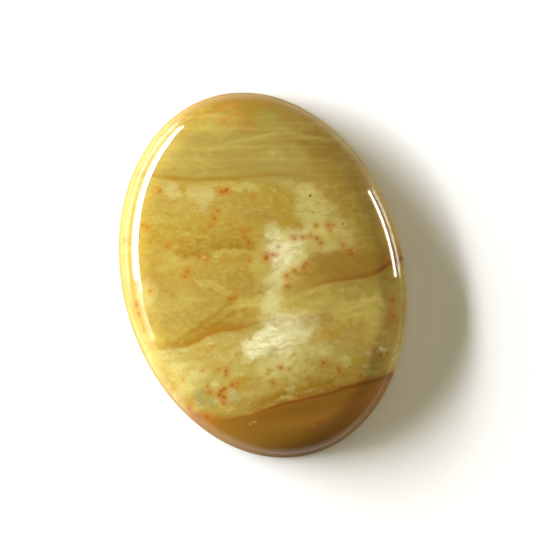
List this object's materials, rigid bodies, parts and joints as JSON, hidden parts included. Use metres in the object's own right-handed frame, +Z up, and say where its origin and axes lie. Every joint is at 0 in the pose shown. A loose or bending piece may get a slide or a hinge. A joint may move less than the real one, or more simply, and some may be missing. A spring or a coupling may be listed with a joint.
{
  "type": "picture jasper cabochon",
  "caption": "Oval polished stone cabochon with a flat back, tapered side wall, rounded shoulder and low dome.",
  "frame": {"origin": "middle of the flat back, on the surface that the stone rests on", "axes": "+Z up from the flat back to the crown of the dome; +Y along the oval's long axis, towards the olive-tan end; +X along its short axis"},
  "size_m": [0.0304, 0.04, 0.006],
  "materials": {
    "polished_jasper": "polished, banded and mottled in golden tan, cream and rust brown"
  },
  "bodies": {
    "root": {"cabochon": "polished_jasper"}
  },
  "joints": []
}
